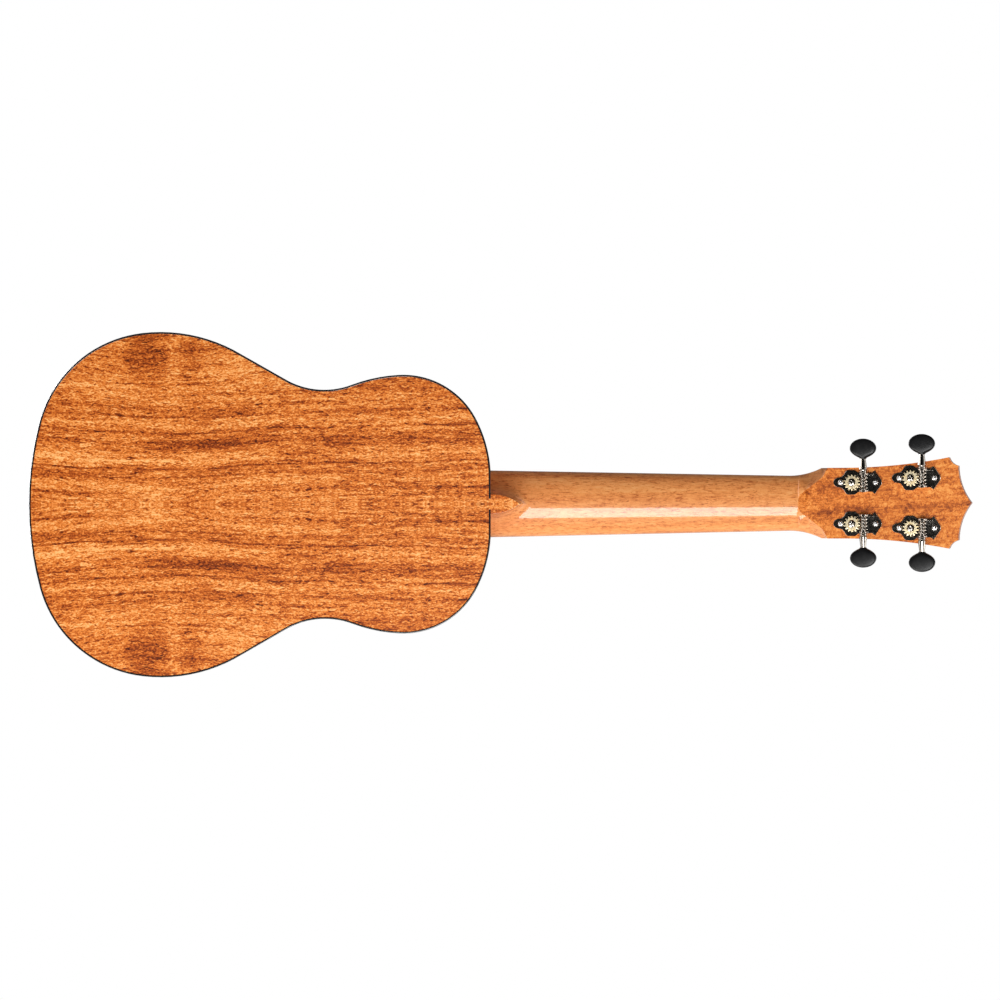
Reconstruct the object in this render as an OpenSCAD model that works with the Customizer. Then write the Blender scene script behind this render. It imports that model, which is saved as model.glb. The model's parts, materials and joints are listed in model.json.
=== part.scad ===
// Tenor ukulele: hollow body, neck, tilted headstock, bridge, four strings and four open-geared tuners.
// Millimetres. +X runs to the headstock, +Y to the bass side, +Z out of the soundboard.
// The instrument lies on its back: z = 0 is the back's outer face, and the origin is under the middle
// of its whole length. Inside the modules, x = 0 is the neck joint, and placed() moves it from there.

/* [Body] */
// Length of the body, from the tail to the neck joint
body_l = 315; // [300:1:330]
// Depth of the body, from the back's face to the soundboard's face
body_h = 70; // [66:0.5:76]
// Thickness of the soundboard and of the back
plate_t = 2.2; // [2:0.1:2.6]
// Thickness of the bent sides
side_t = 2; // [1.6:0.1:2.4]
// Width of the dark binding, seen square to the back
binding_w = 1.3; // [1:0.1:1.6]
// Height of the binding on the side
binding_h = 4; // [3:0.5:5]
// Radius of the sound hole
hole_r = 30; // [27:0.5:31]

/* [Neck] */
// Open string length, from the nut to the saddle
scale_l = 432; // [425:1:440]
// Width of the fingerboard at the nut
nut_w = 38.5; // [36:0.5:40]
// Width of the fingerboard at the neck joint, under the twelfth fret
joint_w = 47; // [44:0.5:48]
// Depth of the neck's wood behind the nut
nut_depth = 11.5; // [11:0.5:12]
// Depth of the neck's wood at the joint
joint_depth = 14; // [13:0.5:15]
// Thickness of the fingerboard
board_t = 5; // [4:0.5:5.5]
// Number of frets
fret_count = 18; // [16:1:18]

/* [Headstock] */
// Angle at which the headstock leans back
head_tilt = 12; // [10:0.5:14]
// Length of the headstock along its face, from the nut to the tip
head_l = 117; // [112:0.5:118]
// Thickness of the headstock's core
core_t = 12.5; // [12:0.5:13]
// Thickness of the headstock's front veneer
veneer_t = 1.5; // [1:0.5:2]

/* [Tuners] */
// Teeth on each gear, which is also the tuner's ratio
gear_teeth = 14; // [14:1:14]
// Distance from a post's axis to its worm's axis
gear_centre = 7.8; // [7.7:0.05:7.9]
// Length of a button's oval across its shaft
button_w = 18.8; // [16:0.2:19]

/* [Hidden] */
LETTERS = ["g", "c", "e", "a"];
PLAIN_NODES = ["soundboard_bass", "soundboard_treble", "rosette", "back_bass", "back_treble",
    "side_bass", "side_treble", "top_binding", "back_binding", "neck_block", "tail_block",
    "top_linings", "back_linings", "soundboard_braces", "bridge_patch", "back_braces",
    "neck", "heel_cap", "headstock", "headstock_veneer", "fretboard", "frets", "position_dots",
    "nut", "bridge", "saddle", "tuner_bushings", "tuner_screws"];

// Colours
koa = [0.74, 0.42, 0.16];
mahogany = [0.80, 0.48, 0.24];
spruce = [0.85, 0.72, 0.50];
ebony = [0.10, 0.07, 0.06];
rosewood = [0.27, 0.14, 0.09];
bone = [0.93, 0.90, 0.82];
pearl = [0.85, 0.88, 0.86];
nickel = [0.72, 0.71, 0.68];
black_nickel = [0.14, 0.14, 0.15];
brass = [0.83, 0.66, 0.30];
button_black = [0.05, 0.05, 0.05];
nylon = [0.92, 0.92, 0.90];

// The body's outline, from the middle of the tail to the neck joint, as arcs that meet without a
// corner. Each is [radius, turn]: a positive turn bulges out, and the negative ones are the waist.
// The last arc's turn brings the outline square to the neck.
OUTLINE_ARCS = [[219, 15], [82.5, 68.5], [107.5, 37.7], [690, -3],
    [53, -48.8], [107, 17.8], [56, 63.9], [85, 0]];
ARC_STEP = 3.6;

// Heights and places
side_top = body_h - plate_t;
neck_l = scale_l / 2;
nut_t = 5;
head_x = neck_l + nut_t;
board_top = body_h + board_t;
fret_h = 1;
hole_x = -109;
saddle_x = neck_l - scale_l;
tongue_w = 7.4;
heel_cap_l = 19.9;
heel_cap_w = 13.4;
block_w = 52;
lining_w = 4.5;
lining_h = 6;
fit_gap = 0.02;
tip_x = head_x + head_l * cos(head_tilt) + veneer_t * sin(head_tilt);
origin_x = (tip_x - body_l) / 2;

// Strings, in the order of LETTERS: radius, height and spacing
STRING_R = [0.36, 0.46, 0.41, 0.33];
nut_spread = 28.5;
saddle_spread = 41;
nut_string_z = board_top + fret_h + 0.4;
saddle_string_z = board_top + fret_h + 4.4;
STRING_STEP = [0.5, 1 / 6, -1 / 6, -0.5];

// Tuners. Each tuner's own frame sits on the headstock's back where its post comes through:
// x to the tip, y out to the button, z away from the wood.
near_u = 34.7;
far_u = 75.4;
near_y = 14.45;
far_y = 17.4;
POST_U = [near_u, far_u, far_u, near_u];
POST_Y = [near_y, far_y, -far_y, -near_y];
plate_sheet = 1;
worm_z = 4;
gear_z0 = 2.9;
gear_t = 2.2;
gear_tip_r = 5.7;
gear_root_r = 4.4;
gear_pitch_r = 5.2;
worm_tip_r = 2.65;
worm_root_r = 1.75;
worm_lead = 2 * PI * gear_pitch_r / gear_teeth;
worm_turns = 4;
ear_in = 5.3;
ear_out = 6.5;
journal_r = 1.5;
post_r = 3;
waist_r = 2.5;
square_w = 3.6;
winding_w = 5;

// --- shared functions -------------------------------------------------------------------------

function turned(arcs, n, i = 0) = i >= n ? 0 : arcs[i][1] + turned(arcs, n, i + 1);

// The arcs with the last one's turn worked out
function closed_arcs(arcs) = let (n = len(arcs) - 1)
    [for (i = [0:n]) i < n ? arcs[i] : [arcs[i][0], 180 - turned(arcs, n)]];

// Points along a chain of tangent arcs, each radius changed so that the outline moves in by inset
function chain(arcs, inset, p, heading, i = 0) = i >= len(arcs) ? [p] :
    let (turn = arcs[i][1], side = sign(turn), r = arcs[i][0] - inset * side,
         c = p + side * r * [sin(heading), -cos(heading)],
         steps = ceil(abs(turn) / ARC_STEP),
         at = function (k) c + r * [cos(heading + 90 * side - turn * k / steps),
                                    sin(heading + 90 * side - turn * k / steps)])
    concat([for (k = [0:steps - 1]) at(k)], chain(arcs, inset, at(steps), heading - turn, i + 1));

body_arcs =
    let (raw = closed_arcs(OUTLINE_ARCS),
         run = chain(raw, 0, [0, 0], 90),
         k = body_l / run[len(run) - 1].x)
    [for (a = raw) [a[0] * k, a[1]]];

// Half of the body's outline, on the bass side, moved in by inset
function half_outline(inset) = concat(chain(body_arcs, inset, [inset - body_l, 0], 90), [[-inset, 0]]);

function mirrored(points) = [for (i = [len(points) - 1:-1:0]) [points[i].x, -points[i].y]];
function clamp(v) = max(0, min(1, v));
function smooth(v) = let (t = clamp(v)) t * t * (3 - 2 * t);
function unit(v) = v / norm(v);
function mix(a, b, t) = a + (b - a) * t;

// A closed solid through rings of equal numbers of points, each clockwise seen from the far end
module loft(rings) {
    n = len(rings[0]);
    m = len(rings);
    points = [for (ring = rings) each ring];
    sides = [for (i = [0:m - 2], j = [0:n - 1]) let (k = (j + 1) % n)
        each [[i * n + j, i * n + k, (i + 1) * n + k], [i * n + j, (i + 1) * n + k, (i + 1) * n + j]]];
    near_end = [for (j = [n - 1:-1:0]) j];
    far_end = [for (j = [0:n - 1]) (m - 1) * n + j];
    polyhedron(points, concat([near_end], sides, [far_end]));
}

// The way a path runs at point i
function tangent(path, i) = let (n = len(path) - 1) unit(path[min(i + 1, n)] - path[max(i - 1, 0)]);
// Directions square to a path, carried along it without twisting
function carried(path, v, i = 0) = i >= len(path) ? [] :
    let (t = tangent(path, i), u = unit(v - (v * t) * t)) concat([u], carried(path, u, i + 1));

// A round tube along a path; start is any direction that is not along its first stretch
module tube(path, r, start, sides = 8) {
    across = carried(path, start);
    loft([for (i = [0:len(path) - 1]) let (u = across[i], v = cross(tangent(path, i), u))
        [for (k = [0:sides - 1]) path[i] + r * (u * cos(360 * k / sides) - v * sin(360 * k / sides))]]);
}

module placed() {
    translate([-origin_x, 0, 0]) children();
}

// The headstock's frame: x along its face from the nut, z out of its face
module on_head() {
    translate([head_x, 0, body_h]) rotate([0, head_tilt, 0]) children();
}

// The frame of tuner i: the treble side's is turned over, and the bass side's is its mirror image
module on_tuner(i) {
    on_head() translate([POST_U[i], POST_Y[i], -core_t])
        mirror([0, POST_Y[i] > 0 ? 1 : 0, 0]) rotate([180, 0, 0]) children();
}

// --- body -------------------------------------------------------------------------------------

module body_2d(inset) {
    half = half_outline(inset);
    polygon(concat(half, mirrored(half)));
}

module half_body_2d(inset, side) {
    half = half_outline(inset);
    polygon(side > 0 ? half : mirrored(half));
}

module soundboard(side) {
    recess = 1;
    color(koa) difference() {
        translate([0, 0, side_top]) linear_extrude(plate_t) half_body_2d(binding_w, side);
        translate([hole_x, 0, side_top - 1]) cylinder(r = hole_r, h = plate_t + 2, $fn = 96);
        translate([hole_x, 0, body_h - recess]) linear_extrude(2) rosette_2d(fit_gap);
    }
}

rosette_in = 35;
rosette_out = 39;

module rosette_2d(gap) {
    difference() {
        circle(r = rosette_out + gap, $fn = 96);
        circle(r = rosette_in - gap, $fn = 96);
    }
}

module rosette() {
    color(pearl) translate([hole_x, 0, body_h - 1]) linear_extrude(1) rosette_2d(0);
}

module back(side) {
    color(koa) linear_extrude(plate_t) half_body_2d(binding_w, side);
}

// A bent side: full thickness between the bindings, and a thin lip behind each of them
module side_wall(side) {
    color(koa) difference() {
        translate([0, 0, plate_t]) linear_extrude(side_top - plate_t) half_body_2d(0, side);
        translate([0, 0, -1]) linear_extrude(body_h + 2) offset_half(side_t, side);
        for (z = [-1, body_h - binding_h])
            translate([0, 0, z]) linear_extrude(binding_h + 1) difference() {
                square(4 * body_l, center = true);
                offset_half(binding_w, side);
            }
    }
}

// The space inside a side, run past the middle so that the two halves meet in a clean face
module offset_half(inset, side) {
    half_body_2d(inset, side);
    translate([-body_l + inset, side > 0 ? -1 : 0]) square([body_l - 2 * inset, 1]);
}

module binding_ring(z) {
    translate([0, 0, z]) linear_extrude(binding_h) difference() {
        body_2d(0);
        body_2d(binding_w);
    }
}

module top_binding() {
    color(ebony) binding_ring(body_h - binding_h);
}

// The back's binding stops each side of the heel cap's tongue
module back_binding() {
    color(ebony) difference() {
        binding_ring(0);
        translate([-3, -tongue_w / 2, -1]) cube([4, tongue_w, plate_t + 1]);
    }
}

module block(x, length) {
    intersection() {
        translate([0, 0, plate_t]) linear_extrude(side_top - plate_t) body_2d(side_t);
        translate([x, -block_w / 2, 0]) cube([length, block_w, body_h]);
    }
}

neck_block_l = 30;
tail_block_l = 16;

module neck_block() {
    color(mahogany) block(-neck_block_l, neck_block_l);
}

module tail_block() {
    color(mahogany) block(-body_l, tail_block_l);
}

// Strips that widen the glue joint between the sides and a plate
module linings(z) {
    color(mahogany) difference() {
        translate([0, 0, z]) linear_extrude(lining_h) difference() {
            body_2d(side_t);
            body_2d(side_t + lining_w);
        }
        translate([-neck_block_l, -block_w / 2, z - 1]) cube([2 * neck_block_l, block_w, lining_h + 2]);
        translate([-body_l - 1, -block_w / 2, z - 1]) cube([tail_block_l + 1, block_w, lining_h + 2]);
    }
}

brace_w = 6;

// A straight brace glued under z = top, with its ends run out; angle turns it from the X axis
module brace(x, y, length, height, angle) {
    run_out = 0.22 * length;
    tip = 2;
    translate([x, y, 0]) rotate([0, 0, angle]) rotate([90, 0, 0]) linear_extrude(brace_w, center = true)
        polygon([[-length / 2, 0], [-length / 2, -tip], [run_out - length / 2, -height],
                 [length / 2 - run_out, -height], [length / 2, -tip], [length / 2, 0]]);
}

ring_brace_t = 1.5;
patch_l = 30;
patch_w = 96;
patch_t = 1.5;

module soundboard_braces() {
    color(spruce) {
        translate([0, 0, side_top]) {
            brace(hole_x + 46, 0, 142, 9, 90);
            brace(hole_x - 45, 0, 146, 9, 90);
        }
        difference() {
            translate([0, 0, side_top]) {
                brace(-226, 0, 132, 7, 0);
                brace(-226, 34, 120, 7, -12);
                brace(-226, -34, 120, 7, 12);
            }
            translate([saddle_x - patch_l / 2, -patch_w / 2, side_top - patch_t])
                cube([patch_l, patch_w, patch_t + 1]);
        }
        translate([hole_x, 0, side_top - ring_brace_t]) linear_extrude(ring_brace_t) difference() {
            circle(r = hole_r + 8, $fn = 96);
            circle(r = hole_r, $fn = 96);
        }
    }
}

module bridge_patch() {
    color(mahogany) translate([saddle_x - patch_l / 2, -patch_w / 2, side_top - patch_t])
        cube([patch_l, patch_w, patch_t]);
}

strip_w = 14;
strip_t = 1.2;

// Three cross braces over the strip that covers the back's centre seam
module back_braces() {
    color(spruce) {
        difference() {
            mirror([0, 0, 1]) translate([0, 0, -plate_t]) {
                brace(-68, 0, 144, 8, 90);
                brace(-158, 0, 138, 8, 90);
                brace(-244, 0, 196, 8, 90);
            }
            translate([-body_l, -strip_w / 2, 0]) cube([body_l, strip_w, plate_t + strip_t]);
        }
        translate([tail_block_l - body_l, -strip_w / 2, plate_t])
            cube([body_l - tail_block_l - neck_block_l, strip_w, strip_t]);
    }
}

// --- neck -------------------------------------------------------------------------------------

// Along the neck, s is the distance from the joint, on the glue face and then on the headstock's face.
flare_s = 210;
flare_r = 51;
head_half_w = 24.7;
bend_s = 205;
neck_end_s = head_x + 17;
PROFILE_STEPS = 7;

function neck_taper(s) = mix(joint_w, nut_w, s / neck_l) / 2;
function neck_half_w(s) = s <= flare_s ? neck_taper(s) :
    let (past = min(s - flare_s, 30))
    min(head_half_w, neck_taper(flare_s) + flare_r - sqrt(pow(flare_r, 2) - pow(past, 2)));
function neck_lean(s) = head_tilt * clamp((s - bend_s) / (head_x - bend_s));
// Where a section meets the back, and the apex, where the headstock's flat back starts
function back_x(s) = neck_top(s)[0] - core_t * sin(neck_lean(s));
apex_x = back_x(head_x) - (core_t * cos(head_tilt) - nut_depth) / tan(head_tilt);
function past_apex(s) = max(0, back_x(s) - apex_x);
function neck_depth(s) = s <= bend_s ? mix(joint_depth, nut_depth, s / bend_s)
    : s < head_x ? (nut_depth + past_apex(s) * tan(head_tilt)) / cos(neck_lean(s)) : core_t;
// Half the width of the flat back face, which starts as a round-nosed point behind the nut
function neck_flat(s) =
    let (d = past_apex(s),
         nose = sqrt(1 - exp(-1.5 * d)),
         spread = 4.9 + 0.78 * d + 0.3 * pow(max(0, d - 16), 2))
    min(neck_half_w(s) - 0.3, max(0.4, spread * nose));
function neck_top(s) = s <= head_x ? [s, body_h]
    : [head_x + (s - head_x) * cos(head_tilt), body_h - (s - head_x) * sin(head_tilt)];

// One section: the flat, rounded on each side up to the glue face
function neck_ring(s) =
    let (w = neck_half_w(s), f = neck_flat(s), d = neck_depth(s), a = neck_lean(s), top = neck_top(s),
         p = mix(2, 1.1, smooth((back_x(s) - apex_x + 2) / 10)),
         half = [for (k = [0:PROFILE_STEPS]) let (q = 90 * k / PROFILE_STEPS)
             [f + (w - f) * pow(sin(q), 2 / p), d * pow(cos(q), 2 / p)]])
    [for (side = [1, -1], k = [0:PROFILE_STEPS])
        let (h = half[side > 0 ? PROFILE_STEPS - k : k])
        [top[0] - h[1] * sin(a), side * h[0], top[1] - h[1] * cos(a)]];

NECK_STATIONS = concat([for (s = [0:20:200]) s], [for (s = [204:2:neck_end_s - 1]) s], [neck_end_s]);

// The heel is a pointed arch that spreads in a fillet where it meets the neck's rounded back. At rise
// g, from 0 at the cap to 1 at the neck, fillet(g) is how far it has spread.
heel_fillet = 8;
heel_h = body_h - joint_depth - plate_t;
function fillet(g) =
    let (u = clamp(1 - (1 - g) * heel_h / heel_fillet))
    heel_fillet * (1 - sqrt(1 - u * u));
function arch(length, half_w, steps = 8) =
    [for (k = [-steps:steps]) let (q = 90 * (steps - abs(k)) / steps)
        [length * sin(q), -sign(k) * half_w * pow(cos(q), 1.8)]];
function under_neck(x, y) = body_h - neck_depth(x) * sqrt(1 - pow(y / neck_taper(x), 2));
function heel_ring(g) =
    let (spread = g + fillet(g))
    [for (q = arch(heel_cap_l + spread, heel_cap_w / 2 + spread))
        [q.x, q.y, mix(plate_t, under_neck(q.x, q.y) + 0.3, g)]];
HEEL_RISES = concat([0, 0.3, 0.6, 0.8],
    [for (a = [0:12:84]) 1 - (1 - sin(a)) * heel_fillet / heel_h], [1]);

module neck() {
    core = [for (q = arch(heel_cap_l, heel_cap_w / 2)) [q.x, q.y, body_h - 5]];
    color(mahogany) union() {
        loft([for (s = NECK_STATIONS) neck_ring(s)]);
        loft(concat([for (g = HEEL_RISES) heel_ring(g)], [core]));
    }
}

// The cap under the heel, with the tongue that runs into the back through the binding
module heel_cap() {
    color(koa) linear_extrude(plate_t) {
        polygon(arch(heel_cap_l, heel_cap_w / 2));
        translate([-binding_w, -tongue_w / 2]) square([binding_w, tongue_w]);
    }
}

// --- headstock --------------------------------------------------------------------------------

// Half of its outline along its face: the flare, a long hollow curve, an ear, a scoop and the tip
ear_u = 101.6;
ear_half_w = 31.7;
scoop_r = 8.3;
crown_u = 108;
crown_half_w = 25.9;
side_curve_u = 29.5;
function arc_between(a, b, r, steps) =
    let (mid = (a + b) / 2, half = norm(b - a) / 2, dir = unit(b - a),
         c = mid + [dir.y, -dir.x] * sqrt(r * r - half * half) * -1,
         a0 = atan2(a.y - c.y, a.x - c.x), a1 = atan2(b.y - c.y, b.x - c.x),
         sweep = (a1 - a0 + 540) % 360 - 180)
    [for (k = [0:steps]) c + r * [cos(a0 + sweep * k / steps), sin(a0 + sweep * k / steps)]];
ear_rise = ear_half_w - head_half_w;
side_r = (pow(ear_u - side_curve_u, 2) + pow(ear_rise, 2)) / (2 * ear_rise);
crown_r = (pow(head_l - crown_u, 2) + pow(crown_half_w, 2)) / (2 * (head_l - crown_u));

function head_half(from_u) = concat(
    [for (u = [from_u:2:16]) [u, neck_half_w(head_x + u)]],
    [[17, head_half_w]],
    arc_between([side_curve_u, head_half_w], [ear_u, ear_half_w], side_r, 10),
    arc_between([ear_u, ear_half_w], [crown_u, crown_half_w], scoop_r, 6),
    arc_between([crown_u, crown_half_w], [head_l, 0], crown_r, 10));

module head_2d(from_u) {
    half = head_half(from_u);
    polygon(concat(half, mirrored(half)));
}

bushing_r = 4.2;
bushing_depth = 7;
post_hole_r = post_r + 0.3;

module at_posts() {
    for (i = [0:3]) translate([POST_U[i], POST_Y[i], 0]) children();
}

module headstock() {
    color(mahogany) on_head() difference() {
        translate([0, 0, -core_t]) linear_extrude(core_t) head_2d(17);
        at_posts() {
            translate([0, 0, -core_t - 1]) cylinder(r = post_hole_r, h = core_t + 2, $fn = 48);
            translate([0, 0, veneer_t - bushing_depth])
                cylinder(r = bushing_r + fit_gap, h = 10, $fn = 48);
        }
        for (i = [0:3], x = SCREW_X) translate([POST_U[i] + x, POST_Y[i], -core_t - 1])
            cylinder(r = screw_r + fit_gap, h = 1 + screw_l - plate_sheet + 0.2, $fn = 24);
    }
}

module headstock_veneer() {
    color(koa) on_head() difference() {
        linear_extrude(veneer_t) head_2d(0);
        at_posts() translate([0, 0, -1]) cylinder(r = bushing_r + fit_gap, h = veneer_t + 2, $fn = 48);
    }
}

// --- fingerboard, frets, dots and nut ---------------------------------------------------------

board_end = -70;
fret_w = 2;
tang_w = 0.56;
tang_h = 1.6;
dot_r = 2.5;
side_dot_r = 1;
dot_t = 1.2;
DOT_FRETS = [5, 7, 10, 12, 15];

function fret_x(n) = neck_l - scale_l * (1 - pow(2, -n / 12));
function board_w(x) = mix(joint_w, nut_w, x / neck_l);
function dot_x(n) = (fret_x(n) + fret_x(n - 1)) / 2;
// The twelfth fret has two dots
function dot_ys(n) = n == 12 ? [-9, 9] : [0];

module fret_2d(gap) {
    polygon(concat([for (a = [0:22.5:180]) [cos(a) * fret_w / 2, sin(a) * fret_h]],
        [[-tang_w / 2 - gap, 0], [-tang_w / 2 - gap, -tang_h - gap], [tang_w / 2 + gap, -tang_h - gap],
         [tang_w / 2 + gap, 0]]));
}

module fretboard() {
    color(rosewood) difference() {
        translate([0, 0, body_h]) linear_extrude(board_t)
            polygon([[board_end, -board_w(board_end) / 2], [neck_l, -nut_w / 2],
                     [neck_l, nut_w / 2], [board_end, board_w(board_end) / 2]]);
        for (n = [1:fret_count]) translate([fret_x(n) - tang_w / 2, -50, board_top - tang_h])
            cube([tang_w, 100, tang_h + 1]);
        position_pockets(fit_gap);
    }
}

module position_pockets(gap) {
    for (n = DOT_FRETS, y = dot_ys(n))
        translate([dot_x(n), y, board_top - dot_t]) cylinder(r = dot_r + gap, h = dot_t + gap, $fn = 32);
    for (n = DOT_FRETS) translate([dot_x(n), board_w(dot_x(n)) / 2 + 0.05 - dot_t, board_top - 2])
        rotate([-90, 0, 0]) cylinder(r = side_dot_r + gap, h = dot_t + gap, $fn = 24);
}

// Round inlays in the fingerboard's face, and small ones in its bass edge
module position_dots() {
    color(pearl) intersection() {
        position_pockets(0);
        translate([-100, -40, 0]) cube([400, 80, board_top]);
    }
}

module frets() {
    color(nickel) for (n = [1:fret_count])
        translate([fret_x(n), 0, board_top]) rotate([90, 0, 0])
            linear_extrude(board_w(fret_x(n)) - 1, center = true) fret_2d(0);
}

function string_y(i, x) = STRING_STEP[i] * mix(nut_spread, saddle_spread, (neck_l - x) / scale_l);
head_drop = sin(head_tilt) * nut_t;

module nut() {
    slot_floor = board_top + fret_h + 0.37;
    color(bone) difference() {
        rotate([90, 0, 0]) linear_extrude(nut_w, center = true)
            polygon([[neck_l, body_h], [head_x, body_h], [head_x, body_h + veneer_t + 4.1],
                     [head_x - 1.4, board_top + 1.7], [neck_l, board_top + 2.1]]);
        for (i = [0:3]) translate([0, string_y(i, neck_l), 0]) rotate([90, 0, 0])
            linear_extrude(2 * STRING_R[i] + 0.3, center = true)
                polygon([[neck_l - 1, slot_floor], [neck_l, slot_floor],
                         [head_x + 1, slot_floor - head_drop - 0.5],
                         [head_x + 1, board_top + 9], [neck_l - 1, board_top + 9]]);
    }
}

// --- bridge, saddle and strings ---------------------------------------------------------------

bridge_front = saddle_x + 10;
bridge_back = saddle_x - 14;
bridge_w = 58;
wing_w = 14;
saddle_w = 46;
saddle_t = 2.5;
tie_front = saddle_x - 8;
tie_z = body_h + 4.8;

module bridge() {
    color(rosewood) difference() {
        union() {
            rotate([90, 0, 0]) linear_extrude(bridge_w, center = true)
                polygon([[bridge_front, body_h], [bridge_front, body_h + 2.5],
                         [saddle_x + 4, body_h + 7.2], [saddle_x - 4, body_h + 7.2],
                         [saddle_x - 5, body_h + 3], [tie_front, body_h + 3],
                         [tie_front, body_h + 7], [bridge_back + 0.5, body_h + 7],
                         [bridge_back, body_h + 6.5], [bridge_back, body_h]]);
            for (side = [1, -1]) mirror([0, side > 0 ? 0 : 1, 0])
                translate([bridge_back, bridge_w / 2, body_h]) rotate([90, 0, 90])
                    linear_extrude(bridge_front - bridge_back)
                        polygon([[0, 0], [wing_w, 0], [wing_w, 1.4], [wing_w / 2, 2.2], [0, 3.4]]);
        }
        translate([saddle_x - saddle_t / 2, -saddle_w / 2, body_h + 3]) cube([saddle_t, saddle_w, 10]);
        for (i = [0:3]) translate([bridge_back - 1, string_y(i, saddle_x), tie_z]) rotate([0, 90, 0])
            cylinder(r = STRING_R[i] + 0.35, h = 12, $fn = 24);
    }
}

module saddle() {
    crown = saddle_string_z - 0.03;
    color(bone) translate([saddle_x, 0, 0]) rotate([90, 0, 0]) linear_extrude(saddle_w, center = true)
        polygon([[-saddle_t / 2, body_h + 3], [saddle_t / 2, body_h + 3], [saddle_t / 2, crown - 0.6],
                 [0.5, crown], [-0.5, crown], [-saddle_t / 2, crown - 0.6]]);
}

// A point of the row from headstock coordinates
function head_point(u, y, w) = [head_x + u * cos(head_tilt) + w * sin(head_tilt), y,
                                body_h - u * sin(head_tilt) + w * cos(head_tilt)];

// A string knotted round the tie block, over the saddle and the nut, and a quarter turn round its post
function string_path(i) =
    let (r = STRING_R[i], ys = string_y(i, saddle_x), yn = string_y(i, neck_l),
         top = body_h + 7 + r + 0.1,
         side = sign(POST_Y[i]), lay_r = waist_r + r + 0.15)
    concat(
        [[tie_front + 1.9, ys + 2.4 * r + 0.3, tie_z - 0.4], [tie_front + 1.5, ys + 2.2 * r, tie_z + 1.2],
         [tie_front + r + 0.5, ys + 1.1 * r + 0.2, top - 0.6], [tie_front - 0.7, ys, top],
         [bridge_back + 1, ys, top],
         [bridge_back - r - 0.1, ys, top - 0.7], [bridge_back - r - 0.3, ys, tie_z + 1.2],
         [bridge_back - r + 0.2, ys, tie_z + 0.1], [bridge_back + 1, ys, tie_z],
         [tie_front - 0.6, ys, tie_z], [tie_front + 0.6, ys, tie_z + 0.45],
         [saddle_x - 1.6, ys, saddle_string_z + r - 0.75],
         [saddle_x - 0.4, ys, saddle_string_z + r], [saddle_x + 0.6, ys, saddle_string_z + r],
         [neck_l - 0.4, yn, nut_string_z + r], [neck_l + 0.8, yn, nut_string_z + r - 0.05]],
        [for (a = [0:22.5:112.5])
            head_point(POST_U[i] + lay_r * sin(a), POST_Y[i] - side * lay_r * cos(a), winding_w)]);

module string(i) {
    color(nylon) tube(string_path(i), STRING_R[i], [0, 1, 0]);
}

// --- tuners -----------------------------------------------------------------------------------

SCREW_X = [-8, 16];
screw_r = 1;
screw_l = 8;
screw_head_r = 2;

// The stamped plate: an oval lobe, a wide part under the gear, a straight part under the worm, and two
// small horns before the pointed end
module plate_2d() {
    lobe_x = -8.6;
    lobe = [for (a = [170:-20:90]) [lobe_x + 4.7 * cos(a), 3.5 * sin(a)]];
    hollow = [[-7.2, 4], [-5.7, 5.6], [-4.7, 7.5]];
    half = [[-3.3, 8.5], [1.8, 8.5], [4.1, 6.8], [13.4, 6.5], [15.8, 8.1], [16.7, 6.6], [20.4, 1.4]];
    points = concat(lobe, hollow, half);
    polygon(concat(points, mirrored(points)));
}

// One of the two ears that carry the worm's shaft
module ear(y) {
    translate([0, y, 0]) rotate([-90, 0, 0]) mirror([0, 1, 0]) linear_extrude(ear_out - ear_in)
        translate([gear_centre, 0]) difference() {
            union() {
                translate([0, worm_z]) circle(r = 2.7, $fn = 48);
                polygon([[-2.7, plate_sheet], [7, plate_sheet], [7, 1.6], [5, 2.1], [3.2, 2.7],
                         [2.7, worm_z], [-2.7, worm_z]]);
            }
            translate([0, worm_z]) circle(r = journal_r + 0.05, $fn = 48);
        }
}

module tuner_plate(i) {
    color(black_nickel) on_tuner(i) union() {
        linear_extrude(plate_sheet) difference() {
            plate_2d();
            circle(r = post_r + 0.2, $fn = 48);
            for (x = SCREW_X) translate([x, 0]) circle(r = screw_r + 0.1, $fn = 24);
        }
        ear(ear_in);
        ear(-ear_out);
    }
}

module tuner_screws() {
    color(nickel) for (i = [0:3], x = SCREW_X) on_tuner(i) translate([x, 0, 0]) difference() {
        union() {
            translate([0, 0, plate_sheet - screw_l]) cylinder(r = screw_r, h = screw_l, $fn = 24);
            translate([0, 0, plate_sheet]) rotate_extrude($fn = 32)
                polygon([[0, 0], [screw_head_r, 0], [screw_head_r, 0.4], [1.5, 0.95], [0.8, 1.2],
                         [0, 1.25]]);
        }
        for (a = [0, 90]) rotate([0, 0, a]) translate([-1, -0.2, plate_sheet + 0.6]) cube([2, 0.4, 2]);
    }
}

// Front bushings, one round each post
module tuner_bushings() {
    flange_r = 5;
    flange_t = 1.2;
    color(black_nickel) on_head() at_posts() rotate_extrude($fn = 64)
        polygon([[post_r + 0.06, veneer_t - bushing_depth], [bushing_r, veneer_t - bushing_depth],
                 [bushing_r, veneer_t], [flange_r, veneer_t], [flange_r, veneer_t + 0.5],
                 [flange_r - 0.8, veneer_t + flange_t], [post_r + 0.06, veneer_t + flange_t]]);
}

// Height of the worm's thread, from 0 at the root to 1 on the crest, for a place in turns from a crest
function thread(turns) = let (f = abs(turns - round(turns))) clamp((0.27 - f) / 0.15);
WORM_SIDES = 12;

module worm_thread() {
    rows = WORM_SIDES * worm_turns;
    loft([for (k = [0:rows]) let (t = k / WORM_SIDES - worm_turns / 2,
                                  fade = clamp(min(k, rows - k) / WORM_SIDES * 2.5))
        [for (j = [0:WORM_SIDES - 1]) let (a = -360 * j / WORM_SIDES,
                r = worm_root_r + (worm_tip_r - worm_root_r) * fade * thread(t - (a - 180) / 360))
            [r * cos(a), r * sin(a), t * worm_lead]]]);
}

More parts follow.
